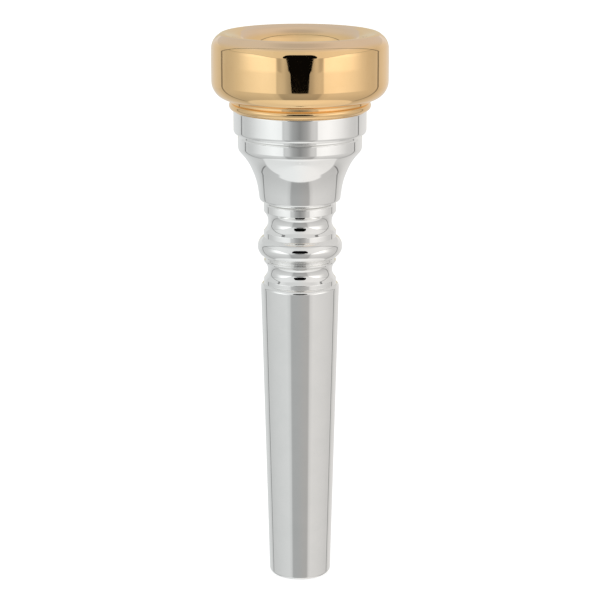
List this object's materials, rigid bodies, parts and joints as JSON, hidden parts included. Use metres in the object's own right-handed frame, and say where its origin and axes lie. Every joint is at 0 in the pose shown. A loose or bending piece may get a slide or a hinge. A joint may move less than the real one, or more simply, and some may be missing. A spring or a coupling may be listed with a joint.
{
  "type": "trumpet mouthpiece",
  "caption": "Screw-together trumpet mouthpiece: thick gold-plated rim, silver-plated cup with a turned waist, and a ringed backbore that tapers to a shank, open right through.",
  "frame": {"origin": "centre of the shank's small end, at the lowest point of the mouthpiece", "axes": "+Z along the bore, from the shank towards the rim; the mouthpiece is round about Z, so X and Y are free"},
  "size_m": [0.027, 0.027, 0.0872],
  "materials": {
    "gold_plate": "mirror-polished gold plate on brass",
    "silver_plate": "mirror-polished silver plate on brass",
    "seal_rubber": "smooth black nitrile rubber"
  },
  "bodies": {
    "backbore": {"backbore": "silver_plate"},
    "backbore_seal": {"backbore_seal": "seal_rubber"},
    "cup": {"cup": "silver_plate"},
    "rim_seal": {"rim_seal": "seal_rubber"},
    "rim": {"rim": "gold_plate"}
  },
  "joints": [
    {"name": "cup_turn", "type": "hinge", "parent": "backbore", "child": "backbore_seal", "pos_m": [0, 0, 0.06135], "axis": [0, 0, 1], "range_deg": [0, 1530]},
    {"name": "cup_rise", "type": "slide", "parent": "backbore_seal", "child": "cup", "axis": [0, 0, 1], "range_m": [0, 0.00319]},
    {"name": "rim_turn", "type": "hinge", "parent": "cup", "child": "rim_seal", "pos_m": [0, 0, 0.0755], "axis": [0, 0, 1], "range_deg": [0, 1530]},
    {"name": "rim_rise", "type": "slide", "parent": "rim_seal", "child": "rim", "axis": [0, 0, 1], "range_m": [0, 0.00382]}
  ],
  "couplings": [
    {"joint": "cup_turn", "follows": "cup_rise", "rad_per_m": 8377.6},
    {"joint": "rim_turn", "follows": "rim_rise", "rad_per_m": 6981.3}
  ]
}
